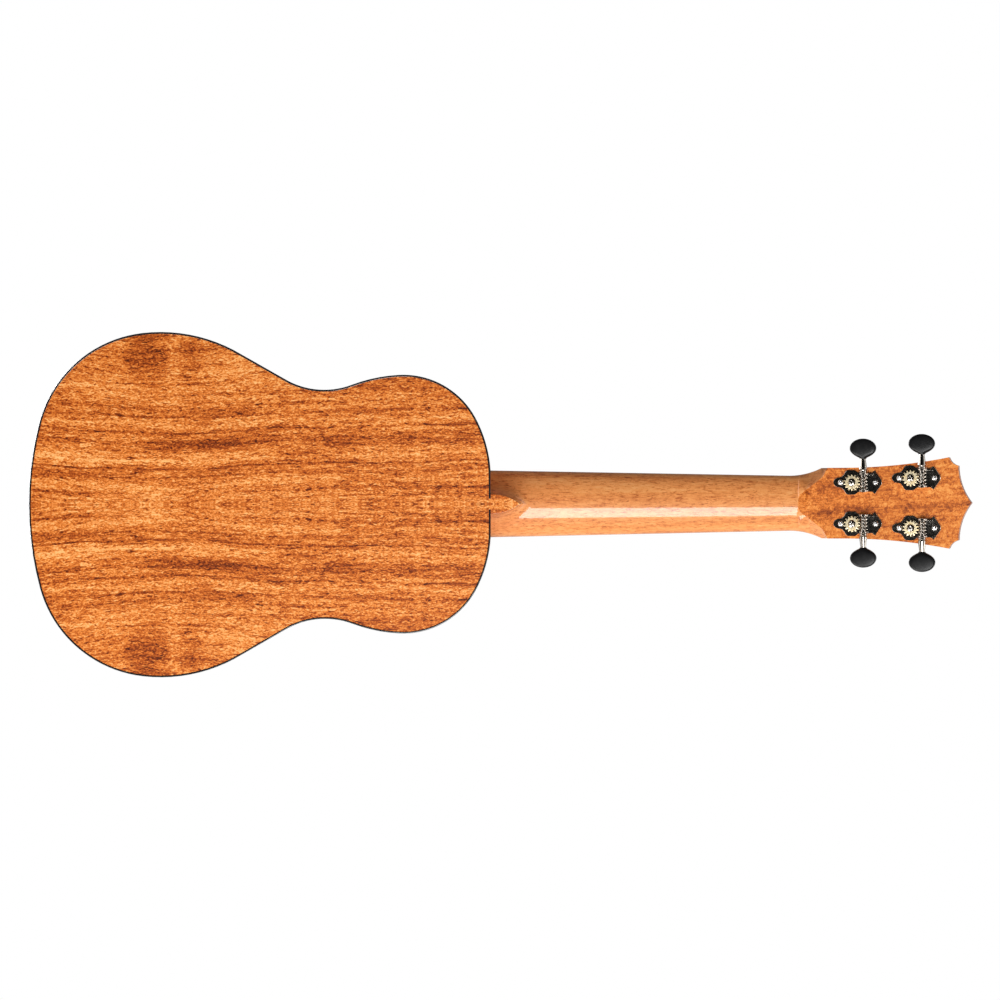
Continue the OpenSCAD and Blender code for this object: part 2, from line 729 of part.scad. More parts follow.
collar_y = ear_out + 0.1;
button_y = 16.4;
spigot_r = 1.2;
spigot_l = 7;

// The worm and its shaft: a journal in each ear, a collar outside, and a waisted stem to the button
module worm(i) {
    half_l = worm_turns * worm_lead / 2;
    color(black_nickel) on_tuner(i) translate([gear_centre, 0, worm_z]) rotate([-90, 0, 0]) union() {
        worm_thread();
        rotate_extrude($fn = 48) polygon([[0, -ear_out - 0.5], [1, -ear_out - 0.5], [journal_r, -ear_out],
            [journal_r, -half_l], [0, -half_l]]);
        rotate_extrude($fn = 48) polygon([[0, half_l], [journal_r, half_l], [journal_r, collar_y],
            [2.4, collar_y], [2.7, collar_y + 0.4], [2.7, collar_y + 1], [2.2, collar_y + 1.5],
            [2.3, collar_y + 2], [2.8, collar_y + 2.5], [2.5, collar_y + 5], [2, button_y - 1],
            [1.9, button_y], [spigot_r, button_y], [spigot_r, button_y + spigot_l],
            [0, button_y + spigot_l]]);
    }
}

// An oval button, rounded across and drawn in to a neck where the shaft enters
button_l = 14.2;
button_t = 6.4;
button_widest = 0.52;
BUTTON_ROWS = 9;

// Half width along the button's length: t runs from 0 at the neck to 1 at the far edge
function button_half(t) =
    let (inner = t < button_widest,
         from_widest = (t - button_widest) / (inner ? button_widest : 1 - button_widest),
         swell = pow(max(0, 1 - from_widest * from_widest), inner ? 0.75 : 0.5))
    max(swell, t < 0.2 ? 0.3 + 0.6 * t : 0);

module button(i) {
    color(button_black) on_tuner(i) translate([gear_centre, button_y, worm_z]) difference() {
        loft([for (k = [0:BUTTON_ROWS])
            let (t = 0.99 * (1 - cos(180 * k / BUTTON_ROWS)) / 2, w = button_half(t),
                 h = button_t / 2 * max(0.62, sqrt(w)) * min(1, w / 0.3))
            [for (a = [0:22.5:337.5]) [button_w / 2 * w * cos(a), button_l * t, h * sin(a)]]]);
        rotate([-90, 0, 0]) translate([0, 0, -1])
            cylinder(r = spigot_r + fit_gap, h = spigot_l + 1 + fit_gap, $fn = 32);
    }
}

// A straight-toothed gear with a gap facing the worm, on the post's square end
module gear_2d() {
    pitch = 360 / gear_teeth;
    difference() {
        polygon([for (n = [0:gear_teeth - 1]) each
            [for (e = [[-0.31, gear_root_r], [-0.13, gear_tip_r], [0.13, gear_tip_r],
                       [0.31, gear_root_r]])
                e[1] * [cos(pitch * (n + 0.5 + e[0])), sin(pitch * (n + 0.5 + e[0]))]]]);
        square(square_w + 2 * fit_gap, center = true);
    }
}

module gear(i) {
    color(brass) on_tuner(i) translate([0, 0, gear_z0]) linear_extrude(gear_t) gear_2d();
}

gear_screw_r = 1.1;
gear_screw_l = 7;

// The post: a square end in the gear, a collar on the plate, and a waisted capstan past the front
module post(i) {
    front = -core_t - veneer_t;
    color(black_nickel) on_tuner(i) difference() {
        union() {
            translate([-square_w / 2, -square_w / 2, gear_z0 - 0.5])
                cube([square_w, square_w, gear_t + 0.5]);
            rotate_extrude($fn = 64) polygon([[0, gear_z0], [3.9, gear_z0], [3.9, plate_sheet + 0.05],
                [post_r, plate_sheet + 0.05], [post_r, front - 2], [waist_r, front - 2.6],
                [waist_r, front - 7.6], [post_r, front - 8.4], [post_r, front - 10.4],
                [2.4, front - 11.2], [0, front - 11.2]]);
        }
        translate([0, 0, gear_z0 + gear_t - gear_screw_l])
            cylinder(r = gear_screw_r + fit_gap, h = 10, $fn = 24);
        translate([0, 0, front - hole_w]) rotate([90, 0, 0])
            cylinder(r = 0.8, h = 10, center = true, $fn = 24);
    }
}

hole_w = 7;

module gear_screw(i) {
    color(black_nickel) on_tuner(i) translate([0, 0, gear_z0 + gear_t]) difference() {
        union() {
            translate([0, 0, 0.3 - gear_screw_l]) cylinder(r = gear_screw_r, h = gear_screw_l, $fn = 24);
            rotate_extrude($fn = 48)
                polygon([[0, 0], [2.6, 0], [2.7, 0.4], [2.3, 1], [1.2, 1.4], [0, 1.5]]);
        }
        for (a = [0, 90]) rotate([0, 0, a]) translate([-1.5, -0.3, 0.7]) cube([3, 0.6, 2]);
    }
}

// The turns of string on a post, which go round with it, and the end held in its cross hole
module winding(i) {
    r = STRING_R[i];
    lay_r = waist_r + r + 0.06;
    pitch = 2 * r + 0.06;
    start_w = winding_w + pitch + 0.1;
    turns = min(2.2, (hole_w + veneer_t - r - 0.85 - start_w) / pitch);
    steps = 14;
    side = sign(POST_Y[i]);
    color(nylon) on_head() translate([POST_U[i], POST_Y[i], 0]) {
        tube([for (k = [0:ceil(turns * steps)]) let (a = side * 360 * k / steps)
            [lay_r * sin(a), -lay_r * cos(a) * side, start_w + pitch * k / steps]], r, [0, 0, 1], 6);
        tube([for (y = [-3, 0, 3.6]) [0, y * side, veneer_t + hole_w]], r, [0, 0, 1], 6);
    }
}

// --- what is drawn ----------------------------------------------------------------------------

module plain(name) {
    if (name == "soundboard_bass") soundboard(1);
    if (name == "soundboard_treble") soundboard(-1);
    if (name == "rosette") rosette();
    if (name == "back_bass") back(1);
    if (name == "back_treble") back(-1);
    if (name == "side_bass") side_wall(1);
    if (name == "side_treble") side_wall(-1);
    if (name == "top_binding") top_binding();
    if (name == "back_binding") back_binding();
    if (name == "neck_block") neck_block();
    if (name == "tail_block") tail_block();
    if (name == "top_linings") linings(side_top - lining_h);
    if (name == "back_linings") linings(plate_t);
    if (name == "soundboard_braces") soundboard_braces();
    if (name == "bridge_patch") bridge_patch();
    if (name == "back_braces") back_braces();
    if (name == "neck") neck();
    if (name == "heel_cap") heel_cap();
    if (name == "headstock") headstock();
    if (name == "headstock_veneer") headstock_veneer();
    if (name == "fretboard") fretboard();
    if (name == "frets") frets();
    if (name == "position_dots") position_dots();
    if (name == "nut") nut();
    if (name == "bridge") bridge();
    if (name == "saddle") saddle();
    if (name == "tuner_bushings") tuner_bushings();
    if (name == "tuner_screws") tuner_screws();
}

for (name = PLAIN_NODES) placed() plain(name);
for (i = [0:3]) {
    placed() string(i);
    placed() tuner_plate(i);
    placed() worm(i);
    placed() button(i);
    placed() gear(i);
    placed() post(i);
    placed() gear_screw(i);
    placed() winding(i);
}
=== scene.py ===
"""A tenor ukulele seen square to its back: smooth meshes and wood, metal and plastic finishes."""

import json
import math
import bmesh
import bpy
from mathutils import Matrix, Vector


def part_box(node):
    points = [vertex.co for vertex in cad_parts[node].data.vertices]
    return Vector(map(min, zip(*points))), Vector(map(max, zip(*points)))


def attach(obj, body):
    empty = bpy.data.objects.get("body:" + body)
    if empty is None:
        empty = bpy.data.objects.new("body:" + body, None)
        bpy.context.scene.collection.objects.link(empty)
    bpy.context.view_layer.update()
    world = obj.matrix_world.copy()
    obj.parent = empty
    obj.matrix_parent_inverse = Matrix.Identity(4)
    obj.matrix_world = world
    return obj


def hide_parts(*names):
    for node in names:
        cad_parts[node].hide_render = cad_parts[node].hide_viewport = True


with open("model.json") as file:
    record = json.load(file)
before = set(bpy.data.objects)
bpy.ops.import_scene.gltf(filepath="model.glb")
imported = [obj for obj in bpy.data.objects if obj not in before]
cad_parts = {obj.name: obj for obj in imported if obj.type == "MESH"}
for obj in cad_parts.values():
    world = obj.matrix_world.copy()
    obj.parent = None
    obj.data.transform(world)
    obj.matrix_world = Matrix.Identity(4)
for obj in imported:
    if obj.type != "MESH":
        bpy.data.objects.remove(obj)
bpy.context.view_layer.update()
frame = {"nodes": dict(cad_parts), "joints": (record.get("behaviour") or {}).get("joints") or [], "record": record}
nodes = frame["nodes"]
MM = 0.001
LETTERS = "gcea"
ROOT = "ukulele"

# --- places, all from the frame ---------------------------------------------------------------

joints = {j["name"]: j for j in frame["joints"]}
JOINT_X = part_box("back_binding")[1].x
GLUE_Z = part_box("fretboard")[0].z
NUT_LOW, NUT_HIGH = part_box("nut")
HEAD_X = NUT_HIGH.x
POST_AXIS = Vector(joints["g_post_turn"]["axis"])
HEAD_TILT = math.asin(-POST_AXIS.x)


# --- meshes -----------------------------------------------------------------------------------

WELD_GAP = 1e-6
DOUBLE_GAP = 1e-7
# Edges bent less than the first angle are smoothed, and those bent more than the second are rounded
SMOOTH_BELOW = math.radians(34)
ROUND_ABOVE = math.radians(38)


def smooth(t):
    t = max(0.0, min(1.0, t))
    return t * t * (3 - 2 * t)


def mix(a, b, t):
    return a + (b - a) * t


def clamp(t):
    return max(0.0, min(1.0, t))


def new_object(name, points, faces, materials, second=()):
    """A mesh object; the faces numbered in second take its second material."""
    mesh = bpy.data.meshes.new(name)
    mesh.from_pydata(points, [], faces)
    for index in second:
        mesh.polygons[index].material_index = 1
    obj = bpy.data.objects.new(name, mesh)
    bpy.context.scene.collection.objects.link(obj)
    tidy = bmesh.new()
    tidy.from_mesh(mesh)
    bmesh.ops.remove_doubles(tidy, verts=tidy.verts, dist=DOUBLE_GAP)
    bmesh.ops.recalc_face_normals(tidy, faces=tidy.faces)
    tidy.to_mesh(mesh)
    tidy.free()
    for material in materials:
        mesh.materials.append(material)
    return obj


def loft(name, rings, materials, second=lambda i, j: False):
    """A closed solid through rings that all have the same number of points."""
    count = len(rings[0])
    points = [p for ring in rings for p in ring]
    faces = [tuple(range(count)), tuple(range(len(points) - count, len(points)))]
    marked = []
    for i in range(len(rings) - 1):
        for j in range(count):
            k = (j + 1) % count
            if second(i, j):
                marked.append(len(faces))
            faces.append((i * count + j, i * count + k, (i + 1) * count + k, (i + 1) * count + j))
    return new_object(name, points, faces, materials, marked)


def node_group(name, build):
    """A geometry node group that changes only normals or doubled vertices."""
    group = bpy.data.node_groups.new(name, "GeometryNodeTree")
    group.interface.new_socket("Geometry", in_out="INPUT", socket_type="NodeSocketGeometry")
    group.interface.new_socket("Geometry", in_out="OUTPUT", socket_type="NodeSocketGeometry")
    start = group.nodes.new("NodeGroupInput")
    end = group.nodes.new("NodeGroupOutput")
    group.links.new(build(group, start.outputs[0]), end.inputs[0])
    return group


def merged(group, geometry):
    weld = group.nodes.new("GeometryNodeMergeByDistance")
    weld.inputs["Distance"].default_value = WELD_GAP
    group.links.new(geometry, weld.inputs["Geometry"])
    return weld.outputs["Geometry"]


def rounded_normals(group, geometry):
    angle = group.nodes.new("GeometryNodeInputMeshEdgeAngle")
    soft = group.nodes.new("FunctionNodeCompare")
    soft.operation = "LESS_THAN"
    soft.inputs[1].default_value = SMOOTH_BELOW
    group.links.new(angle.outputs["Unsigned Angle"], soft.inputs[0])
    faces = group.nodes.new("GeometryNodeSetShadeSmooth")
    faces.domain = "FACE"
    group.links.new(geometry, faces.inputs["Geometry"])
    edges = group.nodes.new("GeometryNodeSetShadeSmooth")
    edges.domain = "EDGE"
    group.links.new(faces.outputs["Geometry"], edges.inputs["Geometry"])
    group.links.new(soft.outputs["Result"], edges.inputs["Shade Smooth"])
    return edges.outputs["Geometry"]


WELD = node_group("weld", merged)
SMOOTH = node_group("smooth_by_angle", rounded_normals)


def finish_edges(obj, bevel=0.0, segments=2):
    """Welds the mesh, rounds its corners by bevel and smooths everything that isn't a corner. Flat
    faces beside a rounded corner keep their own normals."""
    obj.modifiers.new("weld", "NODES").node_group = WELD
    if bevel:
        edge = obj.modifiers.new("round", "BEVEL")
        edge.width = bevel
        edge.segments = segments
        edge.limit_method = "ANGLE"
        edge.angle_limit = ROUND_ABOVE
        edge.use_clamp_overlap = True
    obj.modifiers.new("smooth", "NODES").node_group = SMOOTH
    if bevel:
        flats = obj.modifiers.new("keep_flats_flat", "WEIGHTED_NORMAL")
        flats.keep_sharp = True
        flats.weight = 100


# --- shader helpers ---------------------------------------------------------------------------

class Nodes:
    """A node tree, with short calls for the nodes that the finishes and the studio share."""

    def put(self, value, socket):
        if isinstance(value, bpy.types.NodeSocket):
            self.tree.links.new(value, socket)
        else:
            socket.default_value = value

    def place_from(self, output):
        place = self.tree.nodes.new("ShaderNodeTexCoord")
        split = self.tree.nodes.new("ShaderNodeSeparateXYZ")
        self.tree.links.new(place.outputs[output], split.inputs[0])
        self.x, self.y, self.z = split.outputs

    def math(self, operation, a, b=0.0, c=0.0, clamp=False):
        node = self.tree.nodes.new("ShaderNodeMath")
        node.operation = operation
        node.use_clamp = clamp
        for value, socket in zip((a, b, c), node.inputs):
            self.put(value, socket)
        return node.outputs[0]

    def remap(self, value, low, high, to_low=0.0, to_high=1.0):
        node = self.tree.nodes.new("ShaderNodeMapRange")
        node.interpolation_type = "SMOOTHSTEP"
        for item, socket in zip((value, low, high, to_low, to_high), node.inputs):
            self.put(item, socket)
        return node.outputs["Result"]


class Shader(Nodes):
    """A material whose textures are fixed to the object's own frame."""

    def __init__(self, name):
        self.material = bpy.data.materials.new(name)
        self.material.use_nodes = True
        self.tree = self.material.node_tree
        self.surface = self.tree.nodes["Principled BSDF"]
        self.place_from("Object")

    def vector(self, x, y, z):
        node = self.tree.nodes.new("ShaderNodeCombineXYZ")
        for value, socket in zip((x, y, z), node.inputs):
            self.put(value, socket)
        return node.outputs[0]

    def noise(self, x, y, z, detail=4.0, roughness=0.55, distortion=0.0):
        node = self.tree.nodes.new("ShaderNodeTexNoise")
        self.put(self.vector(x, y, z), node.inputs["Vector"])
        node.inputs["Scale"].default_value = 1.0
        node.inputs["Detail"].default_value = detail
        node.inputs["Roughness"].default_value = roughness
        node.inputs["Distortion"].default_value = distortion
        return node.outputs["Fac"]

    def add(self, tone, noise, amount):
        """Tone moved by a noise about its middle."""
        return self.math("MULTIPLY_ADD", self.math("SUBTRACT", noise, 0.5), amount, tone)

    def ramp(self, value, stops):
        node = self.tree.nodes.new("ShaderNodeValToRGB")
        self.put(value, node.inputs[0])
        bar = node.color_ramp.elements
        while len(bar) < len(stops):
            bar.new(0.5)
        for element, (at, colour) in zip(bar, stops):
            element.position = at
            element.color = (*colour, 1.0)
        return node.outputs["Color"]

    def tint(self, colour, other, amount, blend="MIX"):
        node = self.tree.nodes.new("ShaderNodeMix")
        node.data_type = "RGBA"
        node.blend_type = blend
        self.put(amount, node.inputs["Factor"])
        self.put(colour if isinstance(colour, bpy.types.NodeSocket) else (*colour, 1.0), node.inputs["A"])
        self.put(other if isinstance(other, bpy.types.NodeSocket) else (*other, 1.0), node.inputs["B"])
        return node.outputs["Result"]

    def bump(self, height, distance, strength=1.0):
        node = self.tree.nodes.new("ShaderNodeBump")
        node.inputs["Distance"].default_value = distance
        node.inputs["Strength"].default_value = strength
        self.put(height, node.inputs["Height"])
        self.put(node.outputs["Normal"], self.surface.inputs["Normal"])

    def set(self, **values):
        for name, value in values.items():
            self.put(value, self.surface.inputs[name.replace("_", " ")])
        return self.material


# --- woods ------------------------------------------------------------------------------------

KOA_RAMP = [(0.0, (0.07, 0.010, 0.001)), (0.20, (0.20, 0.030, 0.003)), (0.38, (0.41, 0.074, 0.007)),
            (0.56, (0.63, 0.150, 0.017)), (0.76, (0.88, 0.285, 0.052)), (1.0, (0.96, 0.52, 0.19))]
# Growth lines beside the centre seam, in mm: distance from it, half width, and strength, which is
# negative for a pale one
KOA_STREAKS = [(3, 1.1, 0.16), (8.5, 1.8, 0.22), (14.5, 3.2, -0.16), (20, 1.1, 0.12), (26, 1.2, 0.42),
               (31.5, 3.0, -0.22), (42, 5.5, 0.24), (50.5, 1.3, 0.34), (56, 2.4, -0.12), (61, 1.5, 0.24),
               (68, 1.2, 0.12), (75.5, 1.1, 0.26), (84, 1.4, 0.10)]
# Clouds in the figure, in mm: distance from the neck joint and from the seam, half sizes and strength
KOA_CLOUDS = [(-232, 102, 17, 17, 0.26), (-208, 99, 8, 16, 0.14), (-216, 92, 6, 26, -0.12),
              (-205, 41, 34, 7, 0.12), (-150, 92, 40, 22, -0.08), (-262, 80, 28, 14, -0.06),
              (-105, 42, 8, 3, 0.16)]
# Where the lines bow towards the seam, and how far they are moved there and away from there
KOA_BOW_X = -219 * MM
BOW_MIDDLE = 1.5 * MM
BOW_ENDS = -3.5 * MM
BOW_REACH = 120 * MM


def koa(name, flat=True):
    """Lacquered koa with its grain along X: a flat plate's two halves mirror each other about the seam,
    and a bent side's lines are at heights instead."""
    s = Shader(name)
    along = s.math("SUBTRACT", s.x, JOINT_X)
    side = s.math("ABSOLUTE", s.y) if flat else s.z
    depth = s.z if flat else s.y
    bow_off = s.math("ABSOLUTE", s.math("SUBTRACT", along, KOA_BOW_X))
    bow = s.remap(bow_off, 0, BOW_REACH, BOW_MIDDLE, BOW_ENDS)

    def grain(along_scale, across_scale, detail, roughness=0.55, distortion=0.0):
        third = s.math("MULTIPLY", depth, across_scale if flat else along_scale)
        return s.noise(s.math("MULTIPLY", s.x, along_scale), s.math("MULTIPLY", p, across_scale), third,
                       detail, roughness, distortion)

    p = s.math("ADD", side, bow)
    p = s.add(p, grain(8, 12, 3), 0.009)
    p = s.add(p, grain(34, 60, 2), 0.0022)
    p = s.add(p, grain(150, 240, 2), 0.0022)
    tone = s.add(0.63, grain(4, 70, 3), 0.60)
    tone = s.add(tone, grain(18, 380, 4, 0.62), 0.80)
    tone = s.add(tone, grain(170, 640, 4, 0.75, 1.6), 2.1)
    tone = s.add(tone, grain(620, 1100, 2, 0.6), 1.1)
    dashes = s.remap(grain(190, 760, 3, 0.6, 1.0), 0.53, 0.64)
    for number, (distance, half_width, strength) in enumerate(KOA_STREAKS):
        off = s.math("ABSOLUTE", s.math("SUBTRACT", p, distance * MM))
        line = s.remap(off, 0, half_width * MM, strength, 0)
        run = s.noise(s.math("MULTIPLY", s.x, 13), distance, number, 4, 0.8)
        fade = s.remap(run, 0.38, 0.58, 0.1, 1.0)
        tone = s.math("SUBTRACT", tone, s.math("MULTIPLY", line, fade))
    if flat:
        ragged = grain(50, 90, 3, 0.7)
        for x, y, half_x, half_y, strength in KOA_CLOUDS:
            dx = s.math("DIVIDE", s.math("SUBTRACT", along, x * MM), half_x * MM)
            dy = s.math("DIVIDE", s.math("SUBTRACT", side, y * MM), half_y * MM)
            away = s.math("MULTIPLY_ADD", dx, dx, s.math("MULTIPLY", dy, dy))
            cloud = s.remap(s.add(away, ragged, 3.2), -0.1, 1.6, strength, 0)
            tone = s.math("SUBTRACT", tone, cloud)
    tone = s.math("SUBTRACT", tone, s.math("MULTIPLY", dashes, 0.32), clamp=True)
    s.bump(s.math("SUBTRACT", 0.0, dashes), 0.00004, 0.4)
    return s.set(Base_Color=s.ramp(tone, KOA_RAMP), Roughness=0.42, Specular_IOR_Level=0.15,
                 Coat_Weight=0.55, Coat_Roughness=0.06)


STRIPE_Y = 20 * MM
STRIPE_HALF_W = 4.5 * MM


def mahogany(name, colours, ribbon_amount, mottle, dash_amount, lean=0.0, stripe=0.0):
    """Satin mahogany: a soft ribbon along X, short dark pores, a mottle across it, and a darker
    stripe near its middle."""
    s = Shader(name)
    y = s.math("MULTIPLY_ADD", s.x, lean, s.y)

    def grain(along_scale, across_scale, detail, roughness=0.55, distortion=0.0):
        return s.noise(s.math("MULTIPLY", s.x, along_scale), s.math("MULTIPLY", y, across_scale),
                       s.math("MULTIPLY", s.z, across_scale), detail, roughness, distortion)

    pores = s.remap(grain(210, 950, 3, 0.6, 0.9), 0.52, 0.66)
    tone = s.add(0.60, grain(7, 170, 4, 0.6), ribbon_amount)
    tone = s.add(tone, grain(430, 330, 4, 0.8, 1.0), mottle)
    tone = s.add(tone, grain(150, 800, 3, 0.6, 0.6), 0.8)
    from_stripe = s.math("ABSOLUTE", s.math("SUBTRACT", s.add(y, grain(20, 60, 3), 0.006), STRIPE_Y))
    tone = s.math("SUBTRACT", tone, s.remap(from_stripe, 0, STRIPE_HALF_W, stripe, 0))
    tone = s.math("SUBTRACT", tone, s.math("MULTIPLY", pores, dash_amount), clamp=True)
    s.bump(s.math("SUBTRACT", 0.0, pores), 0.00004, 0.3)
    return s.set(Base_Color=s.ramp(tone, colours), Roughness=0.40, Specular_IOR_Level=0.25,
                 Coat_Weight=0.8, Coat_Roughness=0.06)


def plain_wood(name, dark, light, density, roughness):
    """Bare or oiled wood with straight grain along X."""
    s = Shader(name)
    grain = s.noise(s.math("MULTIPLY", s.x, 14), s.math("MULTIPLY", s.y, density),
                    s.math("MULTIPLY", s.z, density), 5, 0.6)
    pores = s.remap(s.noise(s.math("MULTIPLY", s.x, 190), s.math("MULTIPLY", s.y, 2400),
                            s.math("MULTIPLY", s.z, 2400), 2), 0.60, 0.70)
    tone = s.math("SUBTRACT", s.remap(grain, 0.25, 0.75), s.math("MULTIPLY", pores, 0.4), clamp=True)
    s.bump(s.math("SUBTRACT", grain, pores), 0.00006, 0.5)
    return s.set(Base_Color=s.ramp(tone, [(0.0, dark), (1.0, light)]), Roughness=roughness)


# --- metals and plastics ----------------------------------------------------------------------

def metal(name, colour, roughness, wear=0.12, tarnish=None):
    """Plated metal with faint cloudiness in its colour and polish."""
    s = Shader(name)
    scale = [s.math("MULTIPLY", axis, 520) for axis in (s.x, s.y, s.z)]
    cloud = s.noise(*scale, 4, 0.6)
    fine = s.noise(*[s.math("MULTIPLY", axis, 5) for axis in scale], 2)
    shade = s.tint(colour, tarnish or [c * 0.6 for c in colour], s.remap(cloud, 0.40, 0.75))
    s.bump(fine, 0.000004, 0.4)
    polish = s.remap(cloud, 0.3, 0.7, roughness, roughness + wear)
    return s.set(Base_Color=shade, Metallic=1.0, Roughness=polish)


def plastic(name, colour, roughness, grain=0.000006, coat=0.0, shine=0.5):
    """Moulded plastic, bone or nylon with a fine surface grain."""
    s = Shader(name)
    fine = s.noise(*[s.math("MULTIPLY", axis, 2600) for axis in (s.x, s.y, s.z)], 3)
    cloud = s.noise(*[s.math("MULTIPLY", axis, 260) for axis in (s.x, s.y, s.z)], 3)
    shade = s.tint(colour, [c * 0.8 for c in colour], s.remap(cloud, 0.35, 0.7))
    s.bump(fine, grain, 0.5)
    polish = s.remap(cloud, 0.3, 0.7, roughness, roughness + 0.08)
    return s.set(Base_Color=shade, Roughness=polish, Coat_Weight=coat, Specular_IOR_Level=shine)


def pearl(name):
    """Inlay whose pale patches shift between green, pink and silver."""
    s = Shader(name)
    swirl = s.noise(*[s.math("MULTIPLY", axis, 150) for axis in (s.x, s.y, s.z)], 4, 0.6, 1.6)
    colour = s.ramp(swirl, [(0.30, (0.35, 0.55, 0.50)), (0.45, (0.78, 0.80, 0.74)),
                            (0.55, (0.60, 0.48, 0.56)), (0.70, (0.86, 0.88, 0.84))])
    return s.set(Base_Color=colour, Roughness=0.22, Coat_Weight=0.8, Coat_Roughness=0.05)


NECK_RAMP = [(0.0, (0.27, 0.055, 0.013)), (0.35, (0.60, 0.175, 0.045)), (0.6, (0.86, 0.325, 0.095)),
             (1.0, (0.97, 0.50, 0.19))]
HEAD_RAMP = [(0.0, (0.17, 0.028, 0.004)), (0.35, (0.44, 0.098, 0.012)), (0.6, (0.74, 0.200, 0.027)),
             (1.0, (0.97, 0.41, 0.100))]
finishes = {
    "koa_back": koa("koa_back_wood"),
    "koa_side": koa("koa_side_wood", flat=False),
    "koa_top": koa("koa_top_wood"),
    "black_binding": plastic("black_binding_polish", (0.012, 0.011, 0.012), 0.16, 0.000002, 0.5),
    "neck_mahogany": mahogany("neck_mahogany_satin", NECK_RAMP, 0.7, 0.5, 0.30),
    "head_mahogany": mahogany("head_mahogany_satin", HEAD_RAMP, 1.0, 2.0, 0.24, 0.06, 0.24),
    "inner_mahogany": plain_wood("bare_mahogany", (0.36, 0.19, 0.09), (0.55, 0.33, 0.17), 260, 0.7),
    "spruce": plain_wood("bare_spruce", (0.62, 0.45, 0.24), (0.84, 0.70, 0.46), 480, 0.65),
    "rosewood": plain_wood("oiled_rosewood", (0.045, 0.020, 0.012), (0.17, 0.080, 0.045), 420, 0.42),
    "fret_nickel": metal("fret_nickel_silver", (0.72, 0.71, 0.66), 0.16),
    "bone": plastic("polished_bone", (0.84, 0.79, 0.66), 0.25, 0.000004, 0.3),
    "pearl": pearl("pearl_inlay"),
    "string_nylon": plastic("clear_white_nylon", (0.82, 0.82, 0.78), 0.22, 0.000001, 0.3),
    "black_nickel": metal("black_nickel_plate", (0.48, 0.44, 0.39), 0.10, 0.05, (0.30, 0.27, 0.24)),
    "bright_screw": metal("bright_nickel_plate", (0.80, 0.79, 0.77), 0.18),
    "gear_brass": metal("machined_brass", (0.95, 0.82, 0.56), 0.28, 0.14, (0.62, 0.44, 0.18)),
    "button_black": plastic("satin_black_plastic", (0.005, 0.005, 0.0055), 0.30, 0.000004, shine=0.28),
}

# --- the CAD nodes that stay ------------------------------------------------------------------

# How far the corners are rounded, in mm; the tuner plates' are cut flat
BEVELS = {"back_binding": 0.25, "top_binding": 0.35, "headstock": 0.22, "headstock_veneer": 0.2,
          "heel_cap": 0.25, "fretboard": 0.3, "bridge": 0.35, "nut": 0.25, "saddle": 0.2,
          "tuner_plate": 0.5, "gear": 0.10, "tuner_bushings": 0.12, "post": 0.15,
          "tuner_screws": 0.06, "gear_screw": 0.08}
slots = {sub["node"]: sub["material_slot"] for sub in frame["record"]["subparts"]}
for name, obj in nodes.items():
    finish = "head_mahogany" if name == "headstock" else slots[name]
    obj.data.materials.clear()
    obj.data.materials.append(finishes[finish])
    kind = name if name in BEVELS else name.rsplit("_", 1)[0]
    finish_edges(obj, BEVELS.get(kind, 0.0) * MM, 1 if kind == "tuner_plate" else 2)

# --- neck -------------------------------------------------------------------------------------

NUT_X = NUT_LOW.x
STRING_HALF = NUT_X - JOINT_X
JOINT_HALF_W = 23.5 * MM
NUT_HALF_W = (NUT_HIGH.y - NUT_LOW.y) / 2
JOINT_DEPTH = 14.0 * MM
NUT_DEPTH = 11.5 * MM
CORE = 12.5 * MM
HEAD_HALF_W = 24.7 * MM
BEND = STRING_HALF - 11 * MM
FLARE = STRING_HALF - 6 * MM
FLARE_R = 51.0 * MM
FLARE_L = 30 * MM
TURN = HEAD_X - JOINT_X
NECK_END = TURN + 17 * MM
# The flat back's least half width, in mm, and how far it stays inside the sides
FLAT_LEAST = 0.4
FLAT_MARGIN = 0.3 * MM
# Points on each half of a section, and the steps between sections
PROFILE = 20
PLAIN_STEP = 4 * MM
NOSE_STEP = 0.25 * MM
END_STEP = 0.5 * MM
NOSE = 204 * MM
PAST_NOSE = 224 * MM


def taper(s):
    return mix(JOINT_HALF_W, NUT_HALF_W, s / STRING_HALF)


def neck_half(s):
    if s <= FLARE:
        return taper(s)
    spread = FLARE_R - math.sqrt(FLARE_R ** 2 - min(s - FLARE, FLARE_L) ** 2)
    return min(HEAD_HALF_W, taper(FLARE) + spread)


def neck_lean(s):
    return HEAD_TILT * clamp((s - BEND) / (TURN - BEND))


def neck_top(s):
    past = max(0.0, s - TURN)
    x = JOINT_X + min(s, TURN) + past * math.cos(HEAD_TILT)
    return Vector((x, 0, GLUE_Z - past * math.sin(HEAD_TILT)))


def back_x(s):
    return neck_top(s).x - CORE * math.sin(neck_lean(s))


APEX_X = back_x(TURN) - (CORE * math.cos(HEAD_TILT) - NUT_DEPTH) / math.tan(HEAD_TILT)


def past_apex(s):
    return max(0.0, back_x(s) - APEX_X)


def neck_depth(s):
    if s <= BEND:
        return mix(JOINT_DEPTH, NUT_DEPTH, s / BEND)
    if s < TURN:
        return (NUT_DEPTH + past_apex(s) * math.tan(HEAD_TILT)) / math.cos(neck_lean(s))
    return CORE


def neck_flat(s):
    """Half the width of the flat back face, which starts as a round-nosed point behind the nut."""
    d = past_apex(s) / MM
    grow = (4.9 + 0.78 * d + 0.3 * max(0.0, d - 16) ** 2) * math.sqrt(1 - math.exp(-1.5 * d))
    return min(neck_half(s) - FLAT_MARGIN, max(FLAT_LEAST, grow) * MM)


